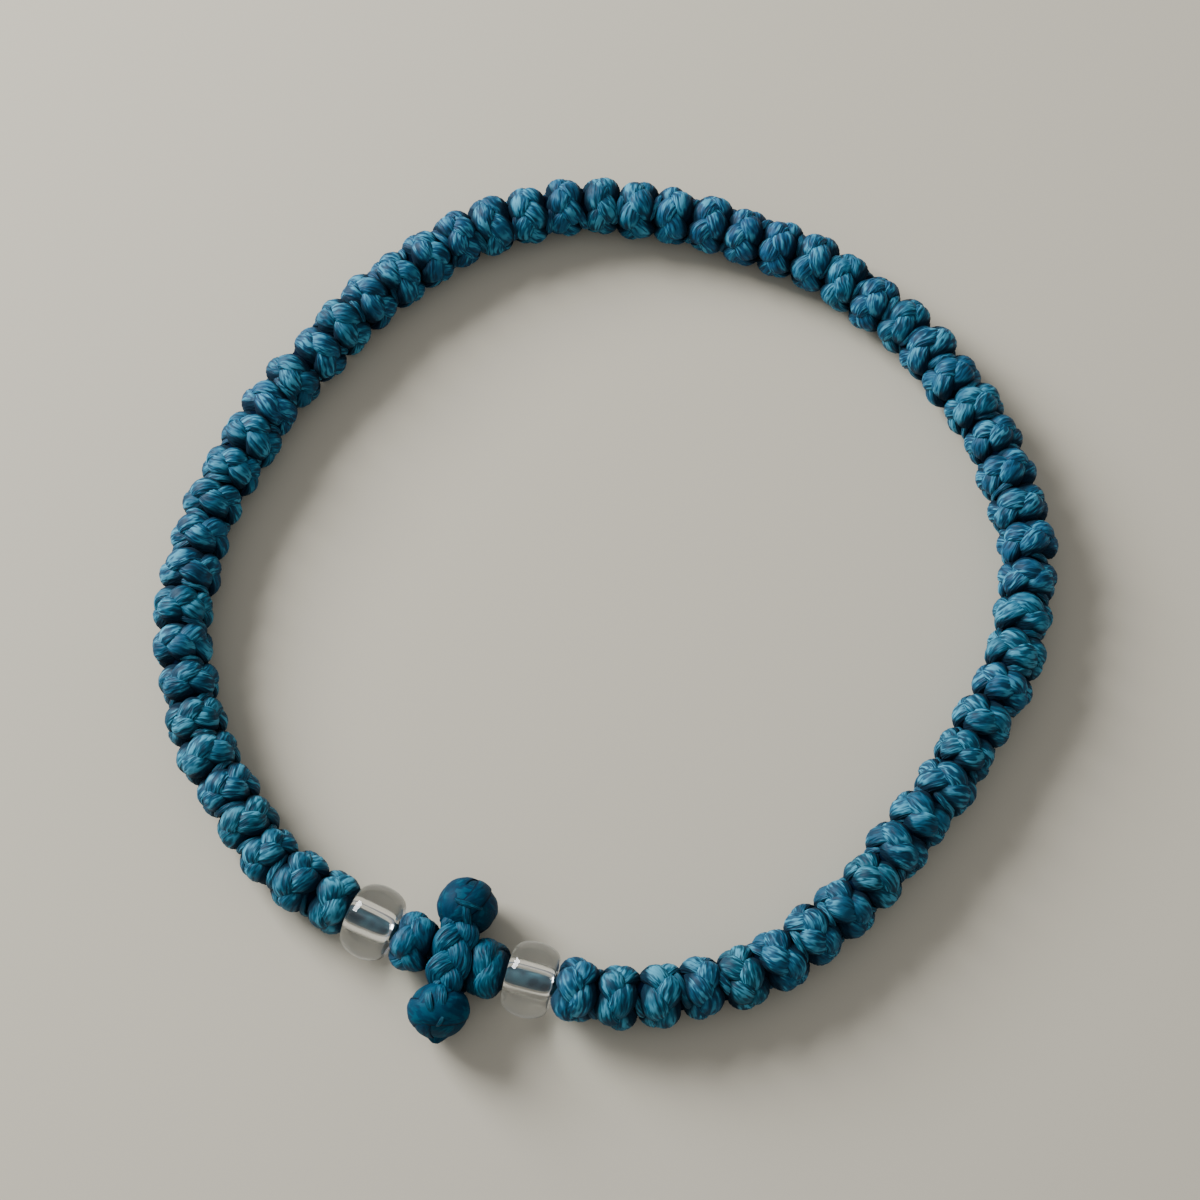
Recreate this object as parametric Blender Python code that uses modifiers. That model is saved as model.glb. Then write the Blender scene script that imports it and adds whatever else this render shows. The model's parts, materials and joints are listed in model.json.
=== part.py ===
"""Knotted prayer rope bracelet lying flat: a closed loop of waxed cord knots, a small knotted
cross and a clear glass bead on each side of the cross. Metres, +Z up, resting on z = 0."""

import math

import bmesh
import bpy
from mathutils import Matrix, Vector

# The loop, seen from above. Angles run anticlockwise from +X.
LOOP_RADIUS = 0.0280
CROSS_ANGLE = math.radians(249)
# The cord's own line: its radius at every 15 degrees from +X, as a share of LOOP_RADIUS.
LOOP_SHARES = (
    1.016, 1.017, 1.011, 1.010, 1.009, 1.003, 1.020, 1.011,
    0.979, 0.951, 0.950, 0.971, 1.009, 1.034, 1.043, 1.047,
    1.009, 1.001, 1.022, 1.026, 0.996, 0.958, 0.955, 0.987,
)  # fmt: skip
ROUTE_STEPS = 1440

# The knots that make up the rope, one beside the next.
KNOT_DIAMETER = 0.0041
KNOT_PITCH = 0.00267
KNOT_SIZE_SPREAD = 0.03
KNOT_SIDESTEP = 0.00022
KNOT_TILT = math.radians(11)
PRESSED_FLAT = 0.00017
AXIS_HEIGHT = KNOT_DIAMETER / 2 - PRESSED_FLAT
WAIST_SHARE = 0.62
END_SHARE = 0.80
KNOT_SIDES = 12
KNOT_SECTIONS = (-0.74, -0.40, 0.0, 0.40, 0.74)
ROUND_POWER = 2.6

# The slanted strands that stand out round each knot, turned on from one knot to the next.
STRAND_LOBES = 3
STRAND_RELIEF = 0.055
STRAND_SLANT = math.radians(70)
KNOT_TURN = math.radians(137.5)

# The two glass beads and the clear elastic that runs through them.
BEAD_DIAMETER = 0.0049
BEAD_LENGTH = 0.0030
BEAD_END_SHARE = 0.66
BEAD_STEPS = 16
BORE_ROUNDING = 0.00018
CORE_DIAMETER = 0.0009
CORE_CLEARANCE = 0.0001
BORE_PLAY = 0.0003
BORE_DIAMETER = CORE_DIAMETER + 2 * BORE_PLAY
CORE_SIDES = 12
SOCKET_DEPTH = 0.0009

# The cross: an upright bar, an arm knot on each side of it and a ball knot at each end.
BAR_WIDTH = 0.0029
BAR_HEIGHT = 0.0040
BAR_LEAN = math.radians(6)
BAR_STITCHES = 4
BAR_STITCH_RELIEF = 0.18
BAR_SECTIONS = 9
BAR_SIDES = 14
BALL_SPACING = 0.0071
INNER_BALL = (0.0042, 0.0036)
OUTER_BALL = (0.0040, 0.0037)
BALL_SEGMENTS = 14
BALL_RINGS = 9
BALL_RELIEF = 0.05
BALL_SLANT = math.radians(115)
TIP_REACH = 0.0003
ARM_REACH = 0.0023
ARM_TUCK = 0.0005

# Clearance between pieces that touch on the real bracelet.
SEAT_GAP = 0.00015


def clear_scene():
    for obj in list(bpy.data.objects):
        bpy.data.objects.remove(obj, do_unlink=True)


def make_collection(name):
    collection = bpy.data.collections.new(name)
    bpy.context.scene.collection.children.link(collection)
    return collection


def make_material(name, colour, roughness, transmission=0.0):
    material = bpy.data.materials.new(name)
    material.use_nodes = True
    shader = material.node_tree.nodes["Principled BSDF"]
    shader.inputs["Base Color"].default_value = (*colour, 1.0)
    shader.inputs["Roughness"].default_value = roughness
    shader.inputs["Metallic"].default_value = 0.0
    shader.inputs["Transmission Weight"].default_value = transmission
    return material


def add_mesh(name, bm, material, collection):
    """Ends a bmesh: faces turned outwards, smooth shading, one named object."""
    bmesh.ops.recalc_face_normals(bm, faces=bm.faces)
    mesh = bpy.data.meshes.new(name)
    bm.to_mesh(mesh)
    bm.free()
    mesh.shade_smooth()
    mesh.materials.append(material)
    obj = bpy.data.objects.new(name, mesh)
    collection.objects.link(obj)
    return obj


def catmull_rom(values, position):
    """A smooth closed curve through evenly spaced values; position counts in values."""
    count = len(values)
    first = math.floor(position)
    t = position - first
    a, b, c, d = (values[(first + k) % count] for k in (-1, 0, 1, 2))
    return 0.5 * (
        2 * b + (c - a) * t + (2 * a - 5 * b + 4 * c - d) * t**2 + (3 * b - a - 3 * c + d) * t**3
    )


def loop_point(angle):
    share = catmull_rom(LOOP_SHARES, angle / (2 * math.pi) * len(LOOP_SHARES))
    return Vector((math.cos(angle), math.sin(angle), 0)) * LOOP_RADIUS * share


class Route:
    """The cord's line measured by its own length, starting at the cross, anticlockwise."""

    def __init__(self):
        turn = 2 * math.pi / ROUTE_STEPS
        self.points = [loop_point(CROSS_ANGLE + turn * k) for k in range(ROUTE_STEPS + 1)]
        self.reached = [0.0]
        for start, end in zip(self.points, self.points[1:]):
            self.reached.append(self.reached[-1] + (end - start).length)
        self.length = self.reached[-1]

    def point(self, along):
        along %= self.length
        low, high = 0, ROUTE_STEPS
        while high - low > 1:
            middle = (low + high) // 2
            if self.reached[middle] <= along:
                low = middle
            else:
                high = middle
        share = (along - self.reached[low]) / (self.reached[high] - self.reached[low])
        return self.points[low].lerp(self.points[high], share)

    def tangent(self, along):
        step = KNOT_PITCH / 2
        return (self.point(along + step) - self.point(along - step)).normalized()


def outward(tangent):
    """The level direction to the right of an anticlockwise line, away from the loop's middle."""
    return Vector((tangent.y, -tangent.x, 0))


def vary(index, kind):
    """A value between -1 and 1 that differs from knot to knot; kind picks another series."""
    return math.sin(KNOT_TURN * index + kind) * math.cos((index + 1) * kind)


def round_share(t, end_share):
    """Radius of a knot at t, from -1 to 1 along it, as a share of its full radius."""
    return end_share + (1 - end_share) * (1 - abs(t) ** ROUND_POWER)


def knot_section(route, index, middle, half_length, t, end_share=WAIST_SHARE):
    """The ring of points round one knot at t along it, pressed flat where it meets z = 0."""
    along = middle + t * half_length
    centre = route.point(along)
    ahead = route.tangent(along)
    side = outward(ahead)
    fade = 1 - t * t
    size = 1 + KNOT_SIZE_SPREAD * vary(index, 1)
    radius = KNOT_DIAMETER / 2 * (1 + (size - 1) * fade) * round_share(t, end_share)
    sidestep = KNOT_SIDESTEP * vary(index, 2) * fade
    lean = math.tan(KNOT_TILT * vary(index, 3)) * fade
    ring = []
    for k in range(KNOT_SIDES):
        angle = (k + 0.5) * 2 * math.pi / KNOT_SIDES
        ridge = math.cos(STRAND_LOBES * angle + STRAND_SLANT * t + KNOT_TURN * index)
        reach = radius * (1 + STRAND_RELIEF * ridge * fade)
        across = reach * math.cos(angle) + sidestep
        height = AXIS_HEIGHT + reach * math.sin(angle)
        point = centre + side * across + ahead * lean * across
        point.z = max(height, 0.0)
        ring.append(point)
    return ring


def loft(rings):
    """A closed body through rings of equally many points, with flat ends."""
    bm = bmesh.new()
    loops = [[bm.verts.new(point) for point in ring] for ring in rings]
    for first, second in zip(loops, loops[1:]):
        for k in range(len(first)):
            bm.faces.new((first[k - 1], first[k], second[k], second[k - 1]))
    bm.faces.new(loops[0])
    bm.faces.new(list(reversed(loops[-1])))
    return bm


def cut(obj, cutter, cutters, solver="EXACT"):
    """Takes cutter's shape out of obj with a Boolean, and keeps cutter out of the render."""
    for old in list(cutter.users_collection):
        old.objects.unlink(cutter)
    cutters.objects.link(cutter)
    cutter.hide_render = True
    cutter.display_type = "WIRE"
    boolean = obj.modifiers.new("cut_" + cutter.name, "BOOLEAN")
    boolean.operation = "DIFFERENCE"
    boolean.solver = solver
    boolean.object = cutter


def add_rod(name, middle, direction, radius, length, sides):
    """A plain cylinder with its middle at a point, lying along a level direction."""
    bpy.ops.mesh.primitive_cylinder_add(
        vertices=sides,
        radius=radius,
        depth=length,
        location=middle,
        rotation=(math.pi / 2, 0, math.atan2(direction.y, direction.x) + math.pi / 2),
    )
    rod = bpy.context.object
    rod.name = name
    return rod


def make_knot_string(route, start, end, material, collection):
    """Every knot from one bead round to the other, tied in one cord and so one body."""
    count = round((end - start) / KNOT_PITCH)
    pitch = (end - start) / count
    rings = []
    for index in range(count):
        middle = start + (index + 0.5) * pitch
        opening_share = END_SHARE if index == 0 else WAIST_SHARE
        rings.append(knot_section(route, index, middle, pitch / 2, -1, opening_share))
        for t in KNOT_SECTIONS:
            rings.append(knot_section(route, index, middle, pitch / 2, t))
    rings.append(knot_section(route, count - 1, middle, pitch / 2, 1, END_SHARE))
    return add_mesh("knot_string", loft(rings), material, collection)


def make_arm(name, route, index, start, end, material, collection):
    """One knot of the cross's level arm, between the bar and a bead."""
    middle = (start + end) / 2
    half_length = (end - start) / 2
    sections = (-1, *KNOT_SECTIONS, 1)
    rings = [knot_section(route, index, middle, half_length, t, END_SHARE) for t in sections]
    return add_mesh(name, loft(rings), material, collection)


def bead_profile():
    """Half of the bead's cut face: round the bore's lip, over the belly and back inside."""
    bore = BORE_DIAMETER / 2
    half = BEAD_LENGTH / 2
    belly = BEAD_DIAMETER / 2
    shoulder = belly * BEAD_END_SHARE
    top = []
    for k in range(3):
        angle = math.pi - k * math.pi / 4
        radius = bore + BORE_ROUNDING * (1 + math.cos(angle))
        top.append((radius, half - BORE_ROUNDING * (1 - math.sin(angle))))
    for k in range(4):
        angle = math.pi / 2 * (1 - k / 4)
        radius = shoulder + (belly - shoulder) * math.cos(angle)
        top.append((radius, half * math.sin(angle)))
    middle = [(belly, 0.0)]
    bottom = [(radius, -height) for radius, height in reversed(top)]
    return top + middle + bottom


def make_bead(name, middle, direction, material, collection):
    """A drilled, rounded glass bead: a profile turned about the line of its bore."""
    bm = bmesh.new()
    points = [bm.verts.new((radius, 0, height)) for radius, height in bead_profile()]
    for k in range(len(points)):
        bm.edges.new((points[k - 1], points[k]))
    mesh = bpy.data.meshes.new(name)
    bm.to_mesh(mesh)
    bm.free()
    mesh.materials.append(material)
    bead = bpy.data.objects.new(name, mesh)
    collection.objects.link(bead)
    turned = bead.modifiers.new("turned", "SCREW")
    turned.axis = "Z"
    turned.steps = BEAD_STEPS
    turned.render_steps = BEAD_STEPS
    turned.use_merge_vertices = True
    turned.merge_threshold = 0.00001
    turned.use_smooth_shade = True
    bead.location = middle
    bead.rotation_euler = (math.pi / 2, 0, math.atan2(direction.y, direction.x) + math.pi / 2)
    return bead


def make_core(name, middle, direction, length, material, collection):
    """The stretch of elastic that shows in a bead, its ends lodged in the knots beside it."""
    core = add_rod(name, middle, direction, CORE_DIAMETER / 2, length, CORE_SIDES)
    core.data.materials.append(material)
    for old in list(core.users_collection):
        old.objects.unlink(core)
    collection.objects.link(core)
    return core


def cut_socket(obj, name, mouth, inwards, cutters):
    """A blind hole for the end of the elastic, from mouth into a knot along inwards."""
    overrun = SOCKET_DEPTH / 2
    length = SOCKET_DEPTH + overrun
    middle = mouth + inwards * (length / 2 - overrun)
    radius = CORE_DIAMETER / 2 + CORE_CLEARANCE
    cut(obj, add_rod(name, middle, inwards, radius, length, CORE_SIDES), cutters)


def ball_mesh(across, along, grow=0.0, tip=0.0):
    """A ball knot with its poles on X: across and along are its diameters, grow widens it."""
    bm = bmesh.new()
    bmesh.ops.create_uvsphere(bm, u_segments=BALL_SEGMENTS, v_segments=BALL_RINGS, radius=1)
    bmesh.ops.rotate(bm, verts=bm.verts, matrix=Matrix.Rotation(math.pi / 2, 3, "Y"))
    size = Vector((along / 2 + grow, across / 2 + grow, across / 2 + grow))
    pole = max(bm.verts, key=lambda vert: vert.co.x)
    pole.co.x += tip / size.x
    for vert in bm.verts:
        turn = math.atan2(vert.co.z, vert.co.y)
        ridge = math.cos(STRAND_LOBES * turn + BALL_SLANT * vert.co.x)
        vert.co *= 1 + BALL_RELIEF * ridge * max(1 - vert.co.x**2, 0.0)
        vert.co = Vector((vert.co.x * size.x, vert.co.y * size.y, vert.co.z * size.z))
    return bm


def placed(bm, turn, place):
    """Turns and moves a bmesh into the model's frame."""
    bmesh.ops.transform(bm, matrix=Matrix.Translation(place) @ turn.to_4x4(), verts=bm.verts)
    return bm


def pressed(bm):
    """Presses a placed bmesh flat where it meets z = 0. A cutter stays round, and cuts through."""
    for vert in bm.verts:
        vert.co.z = max(vert.co.z, 0.0)
    return bm


def bar_mesh(half_length, grow=0.0):
    """The bar along X: stitches that bulge to one side and the other by turns."""
    rings = []
    for section in range(BAR_SECTIONS):
        t = -1 + 2 * section / (BAR_SECTIONS - 1)
        stitch = math.sin(math.pi * BAR_STITCHES * (t + 1) / 2)
        shape = round_share(t, END_SHARE)
        ring = []
        for k in range(BAR_SIDES):
            angle = (k + 0.5) * 2 * math.pi / BAR_SIDES
            bulge = 1 + BAR_STITCH_RELIEF * stitch * math.cos(angle)
            across = (BAR_WIDTH / 2 * shape * bulge + grow) * math.cos(angle)
            height = (BAR_HEIGHT / 2 * shape + grow) * math.sin(angle)
            ring.append(Vector((t * half_length, across, height)))
        rings.append(ring)
    return loft(rings)


def make_cross(route, arms, cord, dark_cord, collection, cutters):
    """The upright bar with its two ball knots. The inner ball lies inside the loop."""
    centre = route.point(0)
    reach = Matrix.Rotation(BAR_LEAN, 3, "Z") @ outward(route.tangent(0))
    turn = Matrix.Rotation(math.atan2(reach.y, reach.x), 3, "Z")
    bar_place = centre + Vector((0, 0, BAR_HEIGHT / 2))
    bar_body = pressed(placed(bar_mesh(BALL_SPACING / 2), turn, bar_place))
    bar = add_mesh("cross_bar", bar_body, cord, collection)
    for arm in arms:
        seat = placed(bar_mesh(BALL_SPACING / 2, grow=SEAT_GAP), turn, bar_place)
        cut(arm, add_mesh("seat_" + arm.name, seat, cord, cutters), cutters)
    for name, (width, length), way in (("inner", INNER_BALL, -1), ("outer", OUTER_BALL, 1)):
        place = centre + reach * (way * BALL_SPACING / 2) + Vector((0, 0, width / 2))
        facing = turn @ Matrix.Rotation(0 if way > 0 else math.pi, 3, "Z")
        tip = TIP_REACH if way > 0 else 0.0
        ball = pressed(placed(ball_mesh(width, length, tip=tip), facing, place))
        add_mesh("cross_ball_" + name, ball, dark_cord, collection)
        seat = placed(ball_mesh(width, length, grow=SEAT_GAP), facing, place)
        cutter = add_mesh("seat_" + name, seat, dark_cord, cutters)
        cut(bar, cutter, cutters, solver="MANIFOLD")


def shift_to_origin(collection):
    """The move that centres the bracelet's bounding box over the origin."""
    bpy.context.view_layer.update()
    graph = bpy.context.evaluated_depsgraph_get()
    corners = []
    for obj in collection.objects:
        evaluated = obj.evaluated_get(graph)
        corners += [evaluated.matrix_world @ vert.co for vert in evaluated.data.vertices]
    middle_x = (min(p.x for p in corners) + max(p.x for p in corners)) / 2
    middle_y = (min(p.y for p in corners) + max(p.y for p in corners)) / 2
    return Vector((-middle_x, -middle_y, 0))


def main():
    clear_scene()
    bracelet = make_collection("prayer_rope_bracelet")
    cutters = make_collection("cutters")
    cord = make_material("waxed_cord", (0.035, 0.21, 0.34), 0.55)
    dark_cord = make_material("waxed_cord_dark", (0.012, 0.11, 0.22), 0.5)
    glass = make_material("clear_glass", (0.93, 0.95, 0.94), 0.03, 1.0)
    elastic = make_material("clear_elastic", (0.72, 0.80, 0.82), 0.3, 0.6)

    route = Route()
    arm_start = BAR_WIDTH / 2 - ARM_TUCK
    arm_end = BAR_WIDTH / 2 + ARM_REACH
    bead_start = arm_end + SEAT_GAP
    bead_end = bead_start + BEAD_LENGTH
    string_start = bead_end + SEAT_GAP
    string_end = route.length - string_start

    string = make_knot_string(route, string_start, string_end, cord, bracelet)
    arms = []

    bead_height = BEAD_DIAMETER / 2
    core_height = bead_height - (BORE_DIAMETER - CORE_DIAMETER) / 2 + CORE_CLEARANCE
    core_length = BEAD_LENGTH + 2 * (SOCKET_DEPTH - SEAT_GAP)
    for side, way in (("left", -1), ("right", 1)):
        arm_ends = sorted((way * arm_start, way * arm_end))
        arm = make_arm("cross_arm_" + side, route, way, *arm_ends, cord, bracelet)
        arms.append(arm)
        bead_along = way * (bead_start + bead_end) / 2
        ahead = route.tangent(bead_along)
        middle = route.point(bead_along)
        bead_middle = middle + Vector((0, 0, bead_height))
        core_middle = middle + Vector((0, 0, core_height))
        make_bead("glass_bead_" + side, bead_middle, ahead, glass, bracelet)
        make_core("elastic_core_" + side, core_middle, ahead, core_length, elastic, bracelet)
        half_bead = ahead * way * (BEAD_LENGTH / 2 + SEAT_GAP)
        cut_socket(string, "socket_string_" + side, core_middle + half_bead, ahead * way, cutters)
        cut_socket(arm, "socket_arm_" + side, core_middle - half_bead, -ahead * way, cutters)

    make_cross(route, arms, cord, dark_cord, bracelet, cutters)
    shift = shift_to_origin(bracelet)
    for obj in [*bracelet.objects, *cutters.objects]:
        obj.location += shift


main()
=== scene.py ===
# Knotted prayer rope bracelet: woven waxed cord, a knotted cross and two clear glass beads
import json
import math
import random

import bmesh
import bpy
import numpy as np
from mathutils import Matrix, Vector

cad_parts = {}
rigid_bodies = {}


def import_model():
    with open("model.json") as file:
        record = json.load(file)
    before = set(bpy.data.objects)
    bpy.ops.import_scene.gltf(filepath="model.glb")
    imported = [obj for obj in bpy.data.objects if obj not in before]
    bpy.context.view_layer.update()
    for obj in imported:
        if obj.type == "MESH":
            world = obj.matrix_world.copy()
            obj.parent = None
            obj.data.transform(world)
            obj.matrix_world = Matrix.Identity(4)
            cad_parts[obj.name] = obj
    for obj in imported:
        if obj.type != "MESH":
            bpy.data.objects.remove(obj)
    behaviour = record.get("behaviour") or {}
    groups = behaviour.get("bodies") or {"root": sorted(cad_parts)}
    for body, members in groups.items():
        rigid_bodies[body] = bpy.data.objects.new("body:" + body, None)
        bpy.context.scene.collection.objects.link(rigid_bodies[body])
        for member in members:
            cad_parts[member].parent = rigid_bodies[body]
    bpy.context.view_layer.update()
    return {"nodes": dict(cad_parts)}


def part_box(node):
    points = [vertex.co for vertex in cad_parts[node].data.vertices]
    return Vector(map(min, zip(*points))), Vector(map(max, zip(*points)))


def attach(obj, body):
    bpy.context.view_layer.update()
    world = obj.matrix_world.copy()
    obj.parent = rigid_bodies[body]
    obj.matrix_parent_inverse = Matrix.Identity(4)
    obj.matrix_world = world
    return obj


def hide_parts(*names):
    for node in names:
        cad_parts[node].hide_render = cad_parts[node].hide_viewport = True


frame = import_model()
print("frame loaded:", len(frame["nodes"]), "nodes")

mm = 0.001
chance = random.Random(7353)

# the cord's own line: its radius every 15 degrees from +X, as a share of the loop's radius
loopLine = {
    "radius": 28.0 * mm,
    "crossAngle": math.radians(249),
    "shares": [
        1.016, 1.017, 1.011, 1.010, 1.009, 1.003, 1.020, 1.011,
        0.979, 0.951, 0.950, 0.971, 1.009, 1.034, 1.043, 1.047,
        1.009, 1.001, 1.022, 1.026, 0.996, 0.958, 0.955, 0.987,
    ],
    "steps": 1440,
    "headingStep": 1.3 * mm,
}

# where things sit along that line from the middle of the cross, and how high the cord runs
places = {
    "bead": 5.40 * mm,
    "stringStart": 7.05 * mm,
    "arm": 2.50 * mm,
    "cordHeight": 1.88 * mm,
}


# one smooth closed curve through evenly spaced values
def smoothValue(values, position):
    first = math.floor(position)
    t = position - first
    a, b, c, d = (values[(first + k) % len(values)] for k in (-1, 0, 1, 2))
    return 0.5 * (
        2 * b + (c - a) * t + (2 * a - 5 * b + 4 * c - d) * t**2 + (3 * b - a - 3 * c + d) * t**3
    )


def drawLine(line):
    points = []
    for k in range(line["steps"] + 1):
        angle = line["crossAngle"] + 2 * math.pi * k / line["steps"]
        share = smoothValue(line["shares"], angle / (2 * math.pi) * len(line["shares"]))
        reach = line["radius"] * share
        points.append((math.cos(angle) * reach, math.sin(angle) * reach))
    points = np.array(points)
    reached = np.concatenate([[0], np.cumsum(np.hypot(*np.diff(points, axis=0).T))])
    return points, reached


linePoints, lineReached = drawLine(loopLine)
lineLength = lineReached[-1]


def lineAt(along):
    along = along % lineLength
    x = np.interp(along, lineReached, linePoints[:, 0])
    y = np.interp(along, lineReached, linePoints[:, 1])
    return Vector((x, y, 0))


def headingAt(along):
    step = loopLine["headingStep"]
    return (lineAt(along + step) - lineAt(along - step)).normalized()


def boxMiddle(node):
    low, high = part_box(node)
    return (Vector(low) + Vector(high)) / 2


# the line is set over the frame by its two beads
beadMiddle = (boxMiddle("glass_bead_left") + boxMiddle("glass_bead_right")) / 2
lineMiddle = (lineAt(-places["bead"]) + lineAt(places["bead"])) / 2
lineShift = Vector((beadMiddle.x - lineMiddle.x, beadMiddle.y - lineMiddle.y, 0))
shiftMm = [round(v / mm, 3) for v in lineShift]
print("line length mm", round(lineLength / mm, 2), "shift mm", shiftMm)


def placeAt(along, height):
    return lineAt(along) + lineShift + Vector((0, 0, height))


# camera at the photo's angle, looking down from the front
cameraSetup = {
    "lens": 72,
    "sensor": 36,
    "elevation": math.radians(69),
    "distance": 162.2 * mm,
    "lookRight": -0.52 * mm,
    "lookUp": -1.69 * mm,
    "nearest": 5 * mm,
}


def addCamera(setup):
    loopMiddle = (linePoints.min(axis=0) + linePoints.max(axis=0)) / 2
    target = Vector((loopMiddle[0], loopMiddle[1], 0)) + lineShift
    target += Vector((setup["lookRight"], setup["lookUp"], places["cordHeight"]))
    back = Vector((0, -math.cos(setup["elevation"]), math.sin(setup["elevation"])))
    data = bpy.data.cameras.new("camera")
    data.lens = setup["lens"]
    data.sensor_width = setup["sensor"]
    data.clip_start = setup["nearest"]
    camera = bpy.data.objects.new("camera", data)
    camera.location = target + back * setup["distance"]
    camera.rotation_euler = (math.pi / 2 - setup["elevation"], 0, 0)
    bpy.context.scene.collection.objects.link(camera)
    bpy.context.scene.camera = camera


addCamera(cameraSetup)
print("camera set")


# how the waxed cord is laid: a flattened bundle of filaments
strand = {
    "width": 1.38 * mm,
    "thickness": 0.68 * mm,
    "roundness": 0.78,
    "bundleDepth": 0.06,
    "sides": 45,
    "steps": 116,
    "swell": 0.14,
    "edgeShade": 0.29,
    "seamWidth": 0.00002 * mm,
}
rowSpacing = 20 * mm  # flat strands lie in rows, far enough apart to tell which is which
seamAngle = -math.pi / 2  # a section starts at its seam, on the side that faces in


def addCollection(name):
    collection = bpy.data.collections.new(name)
    bpy.context.scene.collection.children.link(collection)
    return collection


bench = addCollection("bench")  # curves that are only worked from


# a share of a section's half width, fuller than an ellipse gives
def fuller(share):
    return math.copysign(abs(share) ** strand["roundness"], share)


# the section of one strand, its seam turned inwards, with a groove at every third corner
def strandProfile(name, width, thickness, sides):
    curve = bpy.data.curves.new(name, "CURVE")
    curve.dimensions = "2D"
    spline = curve.splines.new("POLY")
    spline.points.add(sides - 1)
    for k in range(sides):
        angle = 2 * math.pi * k / sides + seamAngle
        reach = 1 - strand["bundleDepth"] * (k % 3 == 0)
        x = width / 2 * reach * fuller(math.cos(angle))
        y = thickness / 2 * reach * fuller(math.sin(angle))
        spline.points[k].co = (x, y, 0, 1)
    spline.use_cyclic_u = True
    profile = bpy.data.objects.new(name, curve)
    bench.objects.link(profile)
    return profile


# how far each point of laid strands faces outwards, from -1 at the seam to 1
def facingOut(count, sides):
    return np.tile(np.sin(2 * math.pi * np.arange(sides) / sides + seamAngle), count // sides)


# lays strands out flat, one in each row: along X, across Y, up Z
def layStrands(name, tracks, profile, capped=False):
    curve = bpy.data.curves.new(name, "CURVE")
    curve.dimensions = "3D"
    curve.twist_mode = "Z_UP"
    curve.bevel_mode = "OBJECT"
    curve.bevel_object = profile
    curve.use_fill_caps = capped
    for row, track in enumerate(tracks):
        spline = curve.splines.new("POLY")
        spline.points.add(len(track) - 1)
        for point, (x, y, z, swell) in zip(spline.points, track):
            point.co = (x, y + row * rowSpacing, z, 1)
            point.radius = swell
    laid = bpy.data.objects.new(name, curve)
    bench.objects.link(laid)
    bpy.context.view_layer.update()
    graph = bpy.context.evaluated_depsgraph_get()
    mesh = bpy.data.meshes.new_from_object(laid.evaluated_get(graph))
    mesh.name = name
    bpy.data.objects.remove(laid, do_unlink=True)
    flat = np.empty(len(mesh.vertices) * 3)
    mesh.vertices.foreach_get("co", flat)
    flat = flat.reshape(-1, 3)
    rows = np.rint(flat[:, 1] / rowSpacing).astype(int)
    flat[:, 1] -= rows * rowSpacing
    return mesh, flat, rows


def setAttribute(mesh, name, values):
    attribute = mesh.attributes.new(name, "FLOAT", "POINT")
    attribute.data.foreach_set("value", values.astype(np.float32))


# puts laid strands in their place, with how far each point stands out for painted shade and each
# strand's tone
def setStrands(mesh, placed, rows, shadeLift, tones, lengths, girth, ringSides=0):
    if ringSides:  # the last ring of a strand meets its first
        rings = placed.reshape(len(lengths), -1, ringSides, 3)
        joined = (rings[:, 0] + rings[:, -1]) / 2
        rings[:, 0] = joined
        rings[:, -1] = joined
    placed[:, 2] = np.maximum(placed[:, 2], 0)
    mesh.vertices.foreach_set("co", placed.ravel())
    setAttribute(mesh, "shadeLift", np.clip(shadeLift, 0, 1))
    setAttribute(mesh, "tone", np.array(tones)[rows])
    corners = np.empty(len(mesh.loops), dtype=int)
    mesh.loops.foreach_get("vertex_index", corners)
    uv = np.empty(len(mesh.loops) * 2)
    mesh.uv_layers[0].data.foreach_get("uv", uv)
    uv = uv.reshape(-1, 2)
    uv[:, 0] *= np.array(lengths)[rows[corners]] / mm  # millimetres along
    uv[:, 1] *= girth / mm  # and round the strand
    mesh.uv_layers[0].data.foreach_set("uv", uv.ravel())
    bm = bmesh.new()
    bm.from_mesh(mesh)
    bmesh.ops.remove_doubles(bm, verts=bm.verts, dist=strand["seamWidth"])
    bmesh.ops.recalc_face_normals(bm, faces=bm.faces)
    bm.to_mesh(mesh)
    bm.free()
    mesh.shade_smooth()


# a single strand plaited over and under itself into a ring, laid out flat
def ringPlait(knot, setup):
    leads = setup["leads"]
    track = []
    for k in range(strand["steps"] + 1):
        turn = leads * 2 * math.pi * k / strand["steps"]
        stretch = knot["wobble"] * math.sin(turn + knot["wobblePhase"])
        phase = knot["bights"] * (turn + stretch) / leads + knot["phase"]
        swing = setup["swing"] * (1 + knot["wobble"] * math.sin(turn + 2 * knot["wobblePhase"]))
        over = math.sin((leads - 1) * phase) * knot["hand"]
        # one lap swells into the large lobe that shows on top
        atLobe = max(math.cos(turn - knot["lobeAngle"]), 0)
        nearTop = atLobe ** setup["lobeSharpness"] * max(over, 0)
        swell = 1 + strand["swell"] * over + knot["lobe"] * nearTop
        hugged = math.sin(phase) + setup["hug"] * math.sin(3 * phase)
        across = swing * hugged / (1 - setup["hug"])
        across *= 1 - setup["lobePull"] * knot["lobe"] * nearTop
        track.append((setup["flatRadius"] * turn, across, setup["weave"] * over, swell))
    return track


# the frame of a knot on the line: ahead, outwards and up, then tilted
def knotBasis(along, yaw, pitch):
    ahead = headingAt(along)
    side = Vector((ahead.y, -ahead.x, 0))
    turned = Matrix.Rotation(yaw, 3, "Z") @ Matrix.Rotation(pitch, 3, side)
    axes = [turned @ axis for axis in (ahead, side, Vector((0, 0, 1)))]
    return np.array(Matrix(axes).transposed())


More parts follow.
